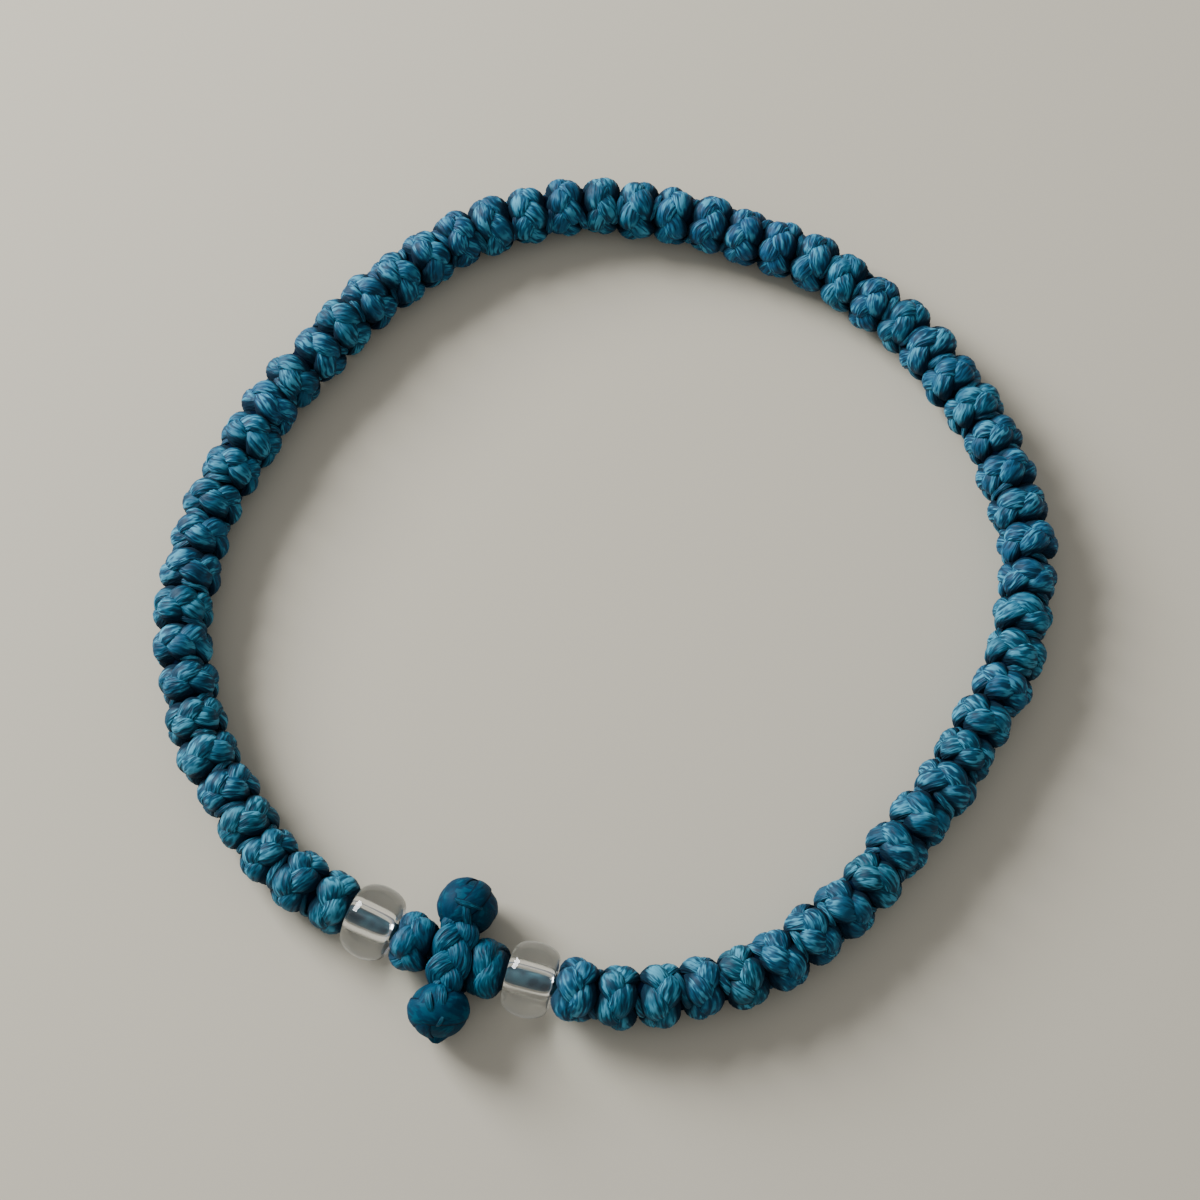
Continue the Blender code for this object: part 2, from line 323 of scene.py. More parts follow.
def wrapKnots(mesh, flat, rows, knots, setup):
    angle = flat[:, 0] / setup["flatRadius"]
    shoulder = (np.abs(flat[:, 1]) / setup["halfLength"]) ** setup["shoulderPower"]
    radius = setup["weaveRadius"] + flat[:, 2] - setup["shoulderDrop"] * shoulder
    placed = np.empty_like(flat)
    for row, knot in enumerate(knots):
        mine = rows == row
        local = np.stack([
            flat[mine, 1], np.cos(angle[mine]) * radius[mine], np.sin(angle[mine]) * radius[mine]
        ], axis=1) * knot["size"]
        placed[mine] = local @ knot["basis"].T + np.array(knot["middle"])
    outer = setup["weaveRadius"] + setup["weave"] + strand["thickness"] / 2
    inner = setup["weaveRadius"] - setup["shoulderDrop"] / 2
    # painted shade: points low in the weave, on the knot's shoulders and at strand edges get less
    # lift, so they darken
    shadeLift = (radius - inner) / (outer - inner) - setup["shoulderShade"] * shoulder
    shadeLift -= strand["edgeShade"] * (1 - facingOut(len(flat), strand["sides"]))
    length = setup["leads"] * 2 * math.pi * setup["flatRadius"]
    girth = math.pi * (strand["width"] + strand["thickness"]) / 2
    tones = [knot["tone"] for knot in knots]
    setStrands(mesh, placed, rows, shadeLift, tones, [length] * len(knots), girth, strand["sides"])


def addPiece(name, mesh, material, replaced):
    piece = bpy.data.objects.new(name, mesh)
    bpy.context.scene.collection.objects.link(piece)
    mesh.materials.clear()
    mesh.materials.append(material)
    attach(piece, "root")
    for node in replaced:
        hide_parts(node)


# shader helpers
def newMaterial(name):
    material = bpy.data.materials.new(name)
    material.use_nodes = True
    return material, material.node_tree.nodes, material.node_tree.links


def addSockets(group, names, kind, direction):
    for name in names:
        group.interface.new_socket(name=name, in_out=direction, socket_type=kind)


# the filaments run on the strand's own map, so scales are how many there are to the millimetre
filamentSetup = {
    "slant": 0.16,
    "sway": 0.26,
    "swayScale": (0.9, 1.2),
    "fineAlong": 1.7,
    "fineShare": 0.55,
    "coarseAlong": 1.0,
    "coarseAround": 0.45,  # as a share of the fine ones
    "patchScale": (0.8, 1.1),
    "noiseRoughness": 0.6,
    "seedSpread": 91.7,  # moves every tone to its own part of the noise
    "seeds": {"sway": 63.1, "fine": 0, "coarse": 17.3, "patches": 41.9},
    "details": {"sway": 1, "fine": 1, "coarse": 1, "patches": 2},
    "frostHighlightRidges": (0.49, 0.57),
    "frostHighlightPatches": (0.32, 0.60),
    "grooveShadeRidges": (0.49, 0.40),
    "creaseLift": (0.66, 0.12),
    "creaseShadeStrength": 0.95,
    "creaseRoughness": 0.95,
    "frostRoughness": 0.12,
    "toneValue": (0.80, 1.14),
    "toneHue": (0.482, 0.503),
    "hueTurns": 7.3,
    "paintedLightAway": (0.98, 1.14),
    "awayHue": 0.014,
}

# what the filaments take in, and what a cord's look calls it
filamentColors = {"Crease shade": "creaseShade", "Body": "body", "Groove shade": "grooveShade", "Frost highlight": "frostHighlight"}
filamentNumbers = {
    "Frost highlighting": "frostHighlighting",
    "Groove shading": "grooveShading",
    "Smoothness": "roughness",
    "Filaments per mm": "filaments",
}


# the waxed filaments: fine streaks down the strand, with pale frost and a painted highlight on the
# ridges, painted shade in the grooves and in the creases
def makeFilamentGroup(setup):
    group = bpy.data.node_groups.new("waxedFilaments", "ShaderNodeTree")
    addSockets(group, filamentColors, "NodeSocketColor", "INPUT")
    addSockets(group, filamentNumbers, "NodeSocketFloat", "INPUT")
    addSockets(group, ["Color"], "NodeSocketColor", "OUTPUT")
    addSockets(group, ["Roughness", "Height"], "NodeSocketFloat", "OUTPUT")
    nodes, links = group.nodes, group.links
    given = nodes.new("NodeGroupInput")
    result = nodes.new("NodeGroupOutput")
    uv = nodes.new("ShaderNodeUVMap")
    uv.uv_map = "UVMap"
    split = nodes.new("ShaderNodeSeparateXYZ")
    links.new(uv.outputs["UV"], split.inputs[0])
    tone = nodes.new("ShaderNodeAttribute")
    tone.attribute_name = "tone"
    shadeLift = nodes.new("ShaderNodeAttribute")
    shadeLift.attribute_name = "shadeLift"

    def math2(kind, a, b=0):
        node = nodes.new("ShaderNodeMath")
        node.operation = kind
        for slot, value in enumerate((a, b)):
            if isinstance(value, (int, float)):
                node.inputs[slot].default_value = value
            else:
                links.new(value, node.inputs[slot])
        return node.outputs[0]

    slanted = math2("ADD", split.outputs[1], math2("MULTIPLY", split.outputs[0], setup["slant"]))

    # noise drawn out along the strand, its own for each tone
    def streaks(kind, across, alongScale, aroundScale):
        place = nodes.new("ShaderNodeCombineXYZ")
        links.new(math2("MULTIPLY", split.outputs[0], alongScale), place.inputs[0])
        links.new(math2("MULTIPLY", across, aroundScale), place.inputs[1])
        spread = math2("MULTIPLY", tone.outputs["Fac"], setup["seedSpread"])
        links.new(math2("ADD", spread, setup["seeds"][kind]), place.inputs[2])
        noise = nodes.new("ShaderNodeTexNoise")
        noise.inputs["Scale"].default_value = 1
        noise.inputs["Detail"].default_value = setup["details"][kind]
        noise.inputs["Roughness"].default_value = setup["noiseRoughness"]
        links.new(place.outputs[0], noise.inputs["Vector"])
        return noise.outputs["Fac"]

    def stepped(value, ends):
        low, high = ends
        node = nodes.new("ShaderNodeMapRange")
        node.interpolation_type = "SMOOTHSTEP"
        node.inputs["From Min"].default_value = low
        node.inputs["From Max"].default_value = high
        links.new(value, node.inputs["Value"])
        return node.outputs["Result"]

    def ranged(value, ends):
        low, high = ends
        node = nodes.new("ShaderNodeMapRange")
        node.inputs["To Min"].default_value = low
        node.inputs["To Max"].default_value = high
        links.new(value, node.inputs["Value"])
        return node.outputs["Result"]

    # the sockets of the mix node that carry colours go by number
    def mixed(factor, first, second):
        node = nodes.new("ShaderNodeMix")
        node.data_type = "RGBA"
        links.new(factor, node.inputs["Factor"])
        links.new(first, node.inputs[6])
        links.new(second, node.inputs[7])
        return node.outputs[2]

    # the filaments don't run quite straight
    wander = math2("SUBTRACT", streaks("sway", slanted, *setup["swayScale"]), 0.5)
    around = math2("ADD", slanted, math2("MULTIPLY", wander, setup["sway"]))
    perMm = given.outputs["Filaments per mm"]
    fine = streaks("fine", around, setup["fineAlong"], perMm)
    perMmCoarse = math2("MULTIPLY", perMm, setup["coarseAround"])
    coarse = streaks("coarse", around, setup["coarseAlong"], perMmCoarse)
    patches = streaks("patches", around, *setup["patchScale"])
    fineShare = math2("MULTIPLY", fine, setup["fineShare"])
    ridges = math2("ADD", fineShare, math2("MULTIPLY", coarse, 1 - setup["fineShare"]))
    # pale frost of the wax in patches, with a painted highlight, on the tops of the filament
    # ridges
    frostHighlighted = stepped(patches, setup["frostHighlightPatches"])
    frostHighlighted = math2("MULTIPLY", stepped(ridges, setup["frostHighlightRidges"]), frostHighlighted)
    frostHighlightMask = math2("MULTIPLY", frostHighlighted, given.outputs["Frost highlighting"])
    # painted shade: the grooves between the filament ridges are darkened
    grooveShaded = stepped(ridges, setup["grooveShadeRidges"])
    grooveShadeMask = math2("MULTIPLY", grooveShaded, given.outputs["Groove shading"])
    # painted shade: where the lift is low, in the creases, the colour goes over to the crease
    # shade colour
    creaseShadeMask = stepped(shadeLift.outputs["Fac"], setup["creaseLift"])
    # no two knots have quite the same colour; away from the cross the cord is lighter, as painted
    # light, and its hue turns bluer
    place = nodes.new("ShaderNodeTexCoord")
    spot = nodes.new("ShaderNodeSeparateXYZ")
    links.new(place.outputs["Object"], spot.inputs[0])
    away = stepped(spot.outputs[1], (-loopLine["radius"], loopLine["radius"]))
    shade = nodes.new("ShaderNodeHueSaturation")
    links.new(given.outputs["Body"], shade.inputs["Color"])
    toneValue = ranged(tone.outputs["Fac"], setup["toneValue"])
    paintedLightAway = ranged(away, setup["paintedLightAway"])
    links.new(math2("MULTIPLY", toneValue, paintedLightAway), shade.inputs["Value"])
    turned = math2("FRACT", math2("MULTIPLY", tone.outputs["Fac"], setup["hueTurns"]))
    toneHue = ranged(turned, setup["toneHue"])
    awayHue = math2("MULTIPLY", away, setup["awayHue"])
    links.new(math2("ADD", toneHue, awayHue), shade.inputs["Hue"])
    body = mixed(grooveShadeMask, shade.outputs["Color"], given.outputs["Groove shade"])
    body = mixed(frostHighlightMask, body, given.outputs["Frost highlight"])
    body = mixed(math2("MULTIPLY", creaseShadeMask, setup["creaseShadeStrength"]), body, given.outputs["Crease shade"])
    links.new(body, result.inputs["Color"])
    frostRoughness = math2("MULTIPLY", frostHighlightMask, setup["frostRoughness"])
    roughness = math2("ADD", frostRoughness, given.outputs["Smoothness"])
    creaseRoughness = math2("MULTIPLY", creaseShadeMask, setup["creaseRoughness"])
    roughness = math2("MAXIMUM", roughness, creaseRoughness)
    links.new(roughness, result.inputs["Roughness"])
    links.new(ridges, result.inputs["Height"])
    return group


filamentGroup = makeFilamentGroup(filamentSetup)


def cordMaterial(name, look):
    material, nodes, links = newMaterial(name)
    shader = nodes["Principled BSDF"]
    shader.inputs["Specular IOR Level"].default_value = look["gloss"]
    filaments = nodes.new("ShaderNodeGroup")
    filaments.node_tree = filamentGroup
    for socket, part in filamentColors.items():
        filaments.inputs[socket].default_value = (*look[part], 1)
    for socket, part in filamentNumbers.items():
        filaments.inputs[socket].default_value = look[part]
    relief = nodes.new("ShaderNodeBump")
    relief.inputs["Strength"].default_value = look["relief"]
    relief.inputs["Distance"].default_value = look["reliefDepth"]
    links.new(filaments.outputs["Color"], shader.inputs["Base Color"])
    links.new(filaments.outputs["Roughness"], shader.inputs["Roughness"])
    links.new(filaments.outputs["Height"], relief.inputs["Height"])
    links.new(relief.outputs["Normal"], shader.inputs["Normal"])
    return material


# colours of the waxed cord, and of the same cord wound tight, each with its painted crease shade,
# groove shade and frost highlight
cordLook = {
    "creaseShade": (0.0, 0.012, 0.028),
    "grooveShade": (0.001, 0.030, 0.064),
    "body": (0.008, 0.087, 0.163),
    "frostHighlight": (0.075, 0.36, 0.51),
    "frostHighlighting": 0.85,
    "grooveShading": 0.85,
    "filaments": 10,
    "relief": 1.0,
    "reliefDepth": 0.17 * mm,
    "roughness": 0.58,
    "gloss": 0.2,
}
crossLook = dict(
    cordLook,
    body=(0.001, 0.068, 0.135),
    grooveShade=(0.0, 0.026, 0.058),
    frostHighlight=(0.035, 0.24, 0.35),
    frostHighlighting=0.65,
)
woundLook = dict(
    cordLook,
    creaseShade=(0.0, 0.008, 0.022),
    body=(0.0, 0.034, 0.076),
    grooveShade=(0.0, 0.012, 0.032),
    frostHighlight=(0.006, 0.14, 0.21),
    frostHighlighting=0.35,
    grooveShading=0.3,
    filaments=7,
    relief=0.35,
    roughness=0.62,
    gloss=0.12,
)
waxedCord = cordMaterial("waxed cord", cordLook)
crossCord = cordMaterial("waxed cord of the cross", crossLook)
woundCord = cordMaterial("waxed cord wound tight", woundLook)


# the same unevenness from knot to knot as the solids have
unevenness = {"turn": math.radians(137.5), "size": 1, "sidestep": 2, "yaw": 3}


def vary(index, kind):
    seed = unevenness[kind]
    return math.sin(unevenness["turn"] * index + seed) * math.cos((index + 1) * seed)


# the woven knots of the string
knotSetup = {
    "count": 61,
    "leads": 3,
    "flatRadius": 1.75 * mm,
    "weaveRadius": 1.50 * mm,
    "weave": 0.21 * mm,
    "swing": 0.70 * mm,
    "hug": 0.08,
    "lobe": 0.22,
    "lobeLeast": 0.4,  # the smallest lobe, as a share of the largest
    "lobeAngle": math.radians(78),
    "lobeSpread": math.radians(32),
    "lobeSharpness": 4,
    "lobePull": 1.2,
    "halfLength": 1.335 * mm,
    "shoulderDrop": 0.52 * mm,
    "shoulderPower": 2.4,
    "shoulderShade": 0.35,
    "bights": [4, 5, 5],
    "start": math.radians(225),
    "sizeSpread": 0.03,
    "sidestep": 0.22 * mm,
    "yaw": math.radians(11),
    "pitch": math.radians(5),
    "wobble": 0.15,
    "pieces": 4,
}
strandSection = strandProfile(
    "strand section", strand["width"], strand["thickness"], strand["sides"]
)


def chooseKnot(index, along, setup):
    side = headingAt(along)
    side = Vector((side.y, -side.x, 0))
    yaw = setup["yaw"] * vary(index, "yaw")
    pitch = setup["pitch"] * chance.uniform(-1, 1)
    bights = chance.choice(setup["bights"])
    lobeAngle = setup["lobeAngle"] + setup["lobeSpread"] * chance.uniform(-1, 1)
    sidestep = setup["sidestep"] * vary(index, "sidestep")
    return {
        "basis": knotBasis(along, yaw, pitch),
        "middle": placeAt(along, places["cordHeight"]) + side * sidestep,
        "size": 1 + setup["sizeSpread"] * vary(index, "size"),
        "bights": bights,
        "hand": 1,
        "lobe": setup["lobe"] * chance.uniform(setup["lobeLeast"], 1),
        "lobeAngle": lobeAngle,
        "phase": setup["start"] - bights * lobeAngle / setup["leads"],
        "wobble": setup["wobble"],
        "wobblePhase": chance.uniform(0, 2 * math.pi),
        "tone": chance.random(),
    }


def addKnots(name, knots, setup, material, replaced):
    tracks = [ringPlait(knot, setup) for knot in knots]
    mesh, flat, rows = layStrands(name, tracks, strandSection)
    wrapKnots(mesh, flat, rows, knots, setup)
    addPiece(name, mesh, material, replaced)
    print(name, "knots", len(knots), "triangles", len(mesh.polygons) * 2)


def addKnotString():
    count, pieces = knotSetup["count"], knotSetup["pieces"]
    start = places["stringStart"]
    pitch = (lineLength - 2 * start) / count
    knots = [chooseKnot(k, start + (k + 0.5) * pitch, knotSetup) for k in range(count)]
    for part in range(pieces):
        mine = knots[part * count // pieces:(part + 1) * count // pieces]
        addKnots("woven_knots_%d" % (part + 1), mine, knotSetup, waxedCord, ["knot_string"])


addKnotString()

# the cord steps over from each knot to the next in the gap between them
stepSetup = {
    "width": 0.62 * mm,
    "thickness": 0.46 * mm,
    "sides": 15,
    "radius": 1.38 * mm,
    "dive": 0.34 * mm,
    "reach": 0.85 * mm,
    "turn": math.radians(150),
    "steps": 26,
    "perGap": 2,
    "flatRadius": 1.6 * mm,
    "beginSpread": 0.5,
    "turnShares": (0.7, 1.2),
    "reachShares": (0.7, 1),
    "sizeShares": (0.75, 1.1),
    "shadeLift": 0.35,
    "liftSpread": 0.2,
}


def addSteps():
    width, thickness = stepSetup["width"], stepSetup["thickness"]
    section = strandProfile("step section", width, thickness, stepSetup["sides"])
    start = places["stringStart"]
    pitch = (lineLength - 2 * start) / knotSetup["count"]
    tracks = []
    gaps = []
    for gap in range(1, knotSetup["count"]):
        first = chance.uniform(0, 2 * math.pi)
        for k in range(stepSetup["perGap"]):
            begin = first + 2 * math.pi * k / stepSetup["perGap"]
            begin += stepSetup["beginSpread"] * chance.uniform(-1, 1)
            turn = stepSetup["turn"] * chance.uniform(*stepSetup["turnShares"])
            way = chance.choice((-1, 1))
            reach = stepSetup["reach"] * way * chance.uniform(*stepSetup["reachShares"])
            size = chance.uniform(*stepSetup["sizeShares"])
            track = []
            for step in range(stepSetup["steps"] + 1):
                t = step / stepSetup["steps"]
                fromMiddle = (2 * t - 1) ** 2
                x = stepSetup["flatRadius"] * (begin + turn * t)
                y = reach * (t - 0.5) * (1 + fromMiddle)
                track.append((x, y, -stepSetup["dive"] * fromMiddle, size))
            tracks.append(track)
            gaps.append(start + gap * pitch)
    mesh, flat, rows = layStrands("stepping_strands", tracks, section, capped=True)
    angle = flat[:, 0] / stepSetup["flatRadius"]
    radius = stepSetup["radius"] + flat[:, 2]
    local = np.stack([flat[:, 1], np.cos(angle) * radius, np.sin(angle) * radius], axis=1)
    placed = np.empty_like(local)
    for row, gap in enumerate(gaps):
        mine = rows == row
        middle = np.array(placeAt(gap, places["cordHeight"]))
        placed[mine] = local[mine] @ knotBasis(gap, 0, 0).T + middle
    # painted shade: the stepping strands lie in the gaps, and darken further where they dive under
    # the knots
    shadeLift = stepSetup["shadeLift"] + stepSetup["liftSpread"] * flat[:, 2] / stepSetup["dive"]
    lengths = [stepSetup["turn"] * stepSetup["radius"]] * len(gaps)
    girth = math.pi * (width + thickness) / 2
    tones = [chance.random() for _ in gaps]
    setStrands(mesh, placed, rows, shadeLift, tones, lengths, girth)
    addPiece("stepping_strands", mesh, waxedCord, ["knot_string"])
    print("stepping strands triangles", len(mesh.polygons) * 2)


addSteps()

# what the knots are tied on: it only shows between them, painted near black as the shade in the
# gaps
stringCore = {
    "radius": 1.2 * mm,
    "step": 0.9 * mm,
    "inset": 0.35 * mm,
    "bevelSteps": 4,
    "dark": (0.0, 0.004, 0.014),
    "pale": (0.0, 0.008, 0.025),
    "darkTo": 0.3,
    "patchesPerMm": 3,
    "roughness": 0.95,
    "gloss": 0.05,
}


# painted shade: the cord between the knots is coloured near black
def gapShadeMaterial():
    material, nodes, links = newMaterial("waxed cord in painted gap shade")
    shader = nodes["Principled BSDF"]
    shader.inputs["Specular IOR Level"].default_value = stringCore["gloss"]
    shader.inputs["Roughness"].default_value = stringCore["roughness"]
    place = nodes.new("ShaderNodeTexCoord")
    noise = nodes.new("ShaderNodeTexNoise")
    noise.inputs["Scale"].default_value = stringCore["patchesPerMm"] / mm
    ramp = nodes.new("ShaderNodeValToRGB")
    dark, pale = ramp.color_ramp.elements
    dark.position = stringCore["darkTo"]
    dark.color = (*stringCore["dark"], 1)
    pale.color = (*stringCore["pale"], 1)
    links.new(place.outputs["Object"], noise.inputs["Vector"])
    links.new(noise.outputs["Fac"], ramp.inputs["Fac"])
    links.new(ramp.outputs["Color"], shader.inputs["Base Color"])
    return material


def addStringCore():
    start = places["stringStart"] + stringCore["inset"]
    count = round((lineLength - 2 * start) / stringCore["step"])
    curve = bpy.data.curves.new("string core", "CURVE")
    curve.dimensions = "3D"
    curve.bevel_depth = stringCore["radius"]
    curve.bevel_resolution = stringCore["bevelSteps"]
    curve.use_fill_caps = True
    spline = curve.splines.new("POLY")
    spline.points.add(count)
    for k, point in enumerate(spline.points):
        place = placeAt(start + (lineLength - 2 * start) * k / count, places["cordHeight"])
        point.co = (*place, 1)
    core = bpy.data.objects.new("string core", curve)
    bench.objects.link(core)
    bpy.context.view_layer.update()
    graph = bpy.context.evaluated_depsgraph_get()
    mesh = bpy.data.meshes.new_from_object(core.evaluated_get(graph))
    mesh.name = "string_core"
    mesh.shade_smooth()
    addPiece("string_core", mesh, gapShadeMaterial(), ["knot_string"])


addStringCore()

# the level arms of the cross: one woven knot each side of the bar
armSetup = dict(
    knotSetup,
    halfLength=1.40 * mm,
    shoulderDrop=0.44 * mm,
    size=0.95,
    lobe=0.2,
    wobble=0.1,
    wobblePhase=1.0,
)
armKnots = [
    {
        "side": "right",
        "way": 1,
        "lobeAngle": math.radians(42),
        "start": math.radians(45),
        "hand": 1,
        "bights": 2,
        "yaw": math.radians(-2),
        "tone": 0.46,
    },
    {
        "side": "left",
        "way": -1,
        "lobeAngle": math.radians(98),
        "start": math.radians(225),
        "hand": -1,
        "bights": 4,
        "yaw": math.radians(3),
        "tone": 0.78,
    },
]


def addArms():
    for arm in armKnots:
        along = arm["way"] * places["arm"]
        knot = {
            "basis": knotBasis(along, arm["yaw"], 0),
            "middle": placeAt(along, places["cordHeight"]),
            "size": armSetup["size"],
            "bights": arm["bights"],
            "hand": arm["hand"],
            "lobe": armSetup["lobe"],
            "lobeAngle": arm["lobeAngle"],
            "phase": arm["start"] - arm["bights"] * arm["lobeAngle"] / armSetup["leads"],
            "wobble": armSetup["wobble"],
            "wobblePhase": armSetup["wobblePhase"],
            "tone": arm["tone"],
        }
        node = "cross_arm_" + arm["side"]
        addKnots("arm_knot_" + arm["side"], [knot], armSetup, crossCord, [node])


addArms()

# the cross's own frame: out of the loop, along the line and up
crossSetup = {"lean": math.radians(6), "aside": 0.2 * mm}
outwardWay = headingAt(0)
outwardWay = Matrix.Rotation(crossSetup["lean"], 3, "Z") @ Vector((outwardWay.y, -outwardWay.x, 0))
acrossWay = Vector((-outwardWay.y, outwardWay.x, 0))
crossBasis = np.array(Matrix((outwardWay, acrossWay, Vector((0, 0, 1)))).transposed())
crossMiddle = placeAt(0, 0) + acrossWay * crossSetup["aside"]

# the upright bar: a three strand plait above and another below
barSetup = {
    "halfLength": 2.6 * mm,
    "wave": 5.6 * mm,
    "swing": 0.72 * mm,
    "weave": 0.26 * mm,
    "width": 1.36 * mm,
    "thickness": 0.90 * mm,
    "steps": 40,
    "leads": 3,
    "heights": {"upper": 3.08 * mm, "lower": 0.9 * mm},
    "middleHeight": 2.0 * mm,
    "phases": {"upper": 0.69, "lower": 2.0},
    "tuckFrom": 1.2 * mm,
    "tuck": 0.42,
    "slack": 1.2,  # a lead's length as a share of the bar's
    "firstTone": 0.1,
    "toneStep": 0.13,
}


def addBar():
    width, thickness, leads = barSetup["width"], barSetup["thickness"], barSetup["leads"]
    section = strandProfile("bar section", width, thickness, strand["sides"])
    tracks = []
    heights = []
    for face, phase in barSetup["phases"].items():
        up = 1 if face == "upper" else -1
        for lead in range(leads):
            track = []
            for k in range(barSetup["steps"] + 1):
                x = barSetup["halfLength"] * (2 * k / barSetup["steps"] - 1)
                angle = 2 * math.pi * (x / barSetup["wave"] + lead / leads) + phase
                over = math.sin(2 * angle)
                y = barSetup["swing"] * math.sin(angle)
                track.append((x, y, barSetup["weave"] * over * up, 1 + strand["swell"] * over))
            tracks.append(track)
            heights.append(barSetup["heights"][face])
    mesh, flat, rows = layStrands("bar_plait", tracks, section, capped=True)
    beyond = np.maximum(np.abs(flat[:, 0]) - barSetup["tuckFrom"], 0)
    tuck = 1 - barSetup["tuck"] * (beyond / (barSetup["halfLength"] - barSetup["tuckFrom"])) ** 2
    up = np.where(rows < leads, 1, -1)
    # painted shade: strands where they pass under, strand edges and the tucked ends of the bar get
    # less lift, so they darken
    shadeLift = 0.5 + flat[:, 2] * up / (2 * (barSetup["weave"] + thickness / 2))
    shadeLift -= strand["edgeShade"] * (1 - up * facingOut(len(flat), strand["sides"]))
    local = flat.copy()
    local[:, 1] *= tuck
    above = np.array(heights)[rows] + flat[:, 2] - barSetup["middleHeight"]
    local[:, 2] = barSetup["middleHeight"] + above * tuck
    placed = local @ crossBasis.T + np.array(crossMiddle)
    girth = math.pi * (width + thickness) / 2
    lengths = [2 * barSetup["halfLength"] * barSetup["slack"]] * len(tracks)
    tones = [barSetup["firstTone"] + barSetup["toneStep"] * row for row in range(len(tracks))]
    setStrands(mesh, placed, rows, shadeLift * tuck, tones, lengths, girth)
    addPiece("bar_plait", mesh, crossCord, ["cross_bar"])
    print("bar triangles", len(mesh.polygons) * 2)


addBar()

# the ball knots: wide bands wound tight, each over the last, and one strand let in from the bar
ballSetup = {
    "width": 2.1 * mm,
    "thickness": 0.42 * mm,
    "sides": 30,
    "steps": 84,
    "raise": 0.05 * mm,
    "strandWidth": 1.7 * mm,
    "strandThickness": 0.95 * mm,
    "strandLevel": 0.12 * mm,
    "hide": 0.42 * mm,
    "flatRadius": 2.0 * mm,
    "swell": 0.1,
    "tipShare": 0.3,
    "ripple": 0.03 * mm,
    "edgeShade": 2.1,
    "toneStep": 0.11,
    "coreShare": 0.92,
    "coreSegments": 48,
    "coreRings": 24,
    "coreShadeLift": 0.5,
}
# each band's pole in degrees, its width as a share, its wave to the side in millimetres, and
# where its turn shows, by the middle and the half length in degrees, or None for all of it
bandColumns = ("azimuth", "elevation", "width", "wave", "shown")
balls = {
    "inner": {
        "middle": -3.36 * mm,
        "across": 4.2 * mm,
        "along": 3.8 * mm,
        "tone": 0.21,
        "faceAzimuth": math.radians(14),
        "faceTilt": math.radians(20),
        "bands": [
            (0, 88, 1.15, 0.05, None),
            (200, 30, 1.1, 0.10, None),
            (285, 22, 1.0, 0.12, None),
            (20, 28, 1.0, 0.12, None),
            (112, 34, 0.9, 0.10, None),
            (62, 4, 0.55, 0.20, None),
        ],
        "strands": [
            (112, 2, 0.36, 0.10, (106, 50)),
            (-8, 17, 0.26, 0.25, (92, 40)),
            (126, 6, 0.24, 0.12, (112, 36)),
        ],
    },
    "outer": {
        "middle": 3.52 * mm,
        "across": 4.05 * mm,
        "along": 3.8 * mm,
        "tone": 0.77,
        "faceAzimuth": math.radians(20),
        "faceTilt": math.radians(16),
        "bands": [
            (0, 88, 1.15, 0.05, None),
            (165, 28, 1.1, 0.12, None),
            (345, 36, 1.0, 0.10, None),
            (262, 22, 1.05, 0.10, None),
            (80, 30, 0.9, 0.12, None),
            (24, 5, 1.15, 0.14, None),
        ],
        "strands": [
            (98, -6, 0.44, 0.14, (56, 44)),
            (116, 10, 0.3, 0.10, (64, 34)),
            (80, -6, 0.2, 0.20, (104, 20)),
        ],
    },
}


# one turn of a band, whose own angles also keep its waves from matching its neighbours'
def bandTrack(band, level, thickness):
    track = []
    for k in range(ballSetup["steps"] + 1):
        turn = 2 * math.pi * k / ballSetup["steps"]
        swell = band["width"] * (1 + ballSetup["swell"] * math.sin(2 * turn))
        sunk = 0
        if band["shown"] is not None:  # it thins and sinks in towards both ends
            middle, reach = band["shown"]
            seen = max(1 - ((math.degrees(turn) - middle) / reach) ** 2, 0)
            swell *= ballSetup["tipShare"] + (1 - ballSetup["tipShare"]) * seen
            sunk = ballSetup["hide"] * (1 - seen)
        y = band["wave"] * mm * math.sin(2 * turn + band["azimuth"])
        z = level - sunk - thickness / 2 * swell
        z += ballSetup["ripple"] * math.sin(3 * turn + band["elevation"])
        track.append((ballSetup["flatRadius"] * turn, y, z, swell))
    return track


def windBall(name, ball, rowsOfBands, levels, size, material, node):
    bands = [dict(zip(bandColumns, row)) for row in rowsOfBands]
    section = strandProfile(name + " section", *size, ballSetup["sides"])
    tracks = [bandTrack(band, level, size[1]) for band, level in zip(bands, levels)]
    mesh, flat, rows = layStrands(name, tracks, section)
    angle = flat[:, 0] / ballSetup["flatRadius"]
    latitude = flat[:, 1] / ballSetup["flatRadius"]
    radius = ballSetup["flatRadius"] + flat[:, 2]
    across = radius * np.cos(latitude)
    local = np.stack([
        radius * np.sin(latitude), across * np.cos(angle), across * np.sin(angle)
    ], axis=1)
    faceAxis = Vector((-math.sin(ball["faceAzimuth"]), math.cos(ball["faceAzimuth"]), 0))
    face = Matrix.Rotation(ball["faceTilt"], 3, faceAxis)
    for row, band in enumerate(bands):
        raised = Matrix.Rotation(-math.radians(band["elevation"]), 3, "Y")
        pole = Matrix.Rotation(math.radians(band["azimuth"]), 3, "Z") @ raised
        mine = rows == row
        local[mine] = local[mine] @ np.array(face @ pole).T
    extents = np.array([ball["along"], ball["across"], ball["across"]])
    local *= extents / 2 / ballSetup["flatRadius"]
    local[:, 0] += ball["middle"]
    local[:, 2] += ball["across"] / 2
    placed = local @ crossBasis.T + np.array(crossMiddle)
    facing = np.maximum(facingOut(len(flat), ballSetup["sides"]), 0)
    shadeLift = 1 - ballSetup["edgeShade"] * (1 - facing ** strand["roundness"])
    lengths = [2 * math.pi * ballSetup["flatRadius"]] * len(bands)
    girth = math.pi * sum(size) / 2
    tones = [ball["tone"] + ballSetup["toneStep"] * row for row in range(len(bands))]
    setStrands(mesh, placed, rows, shadeLift, tones, lengths, girth, ballSetup["sides"])
    addPiece(name, mesh, material, [node])
    print(name, "triangles", len(mesh.polygons) * 2)


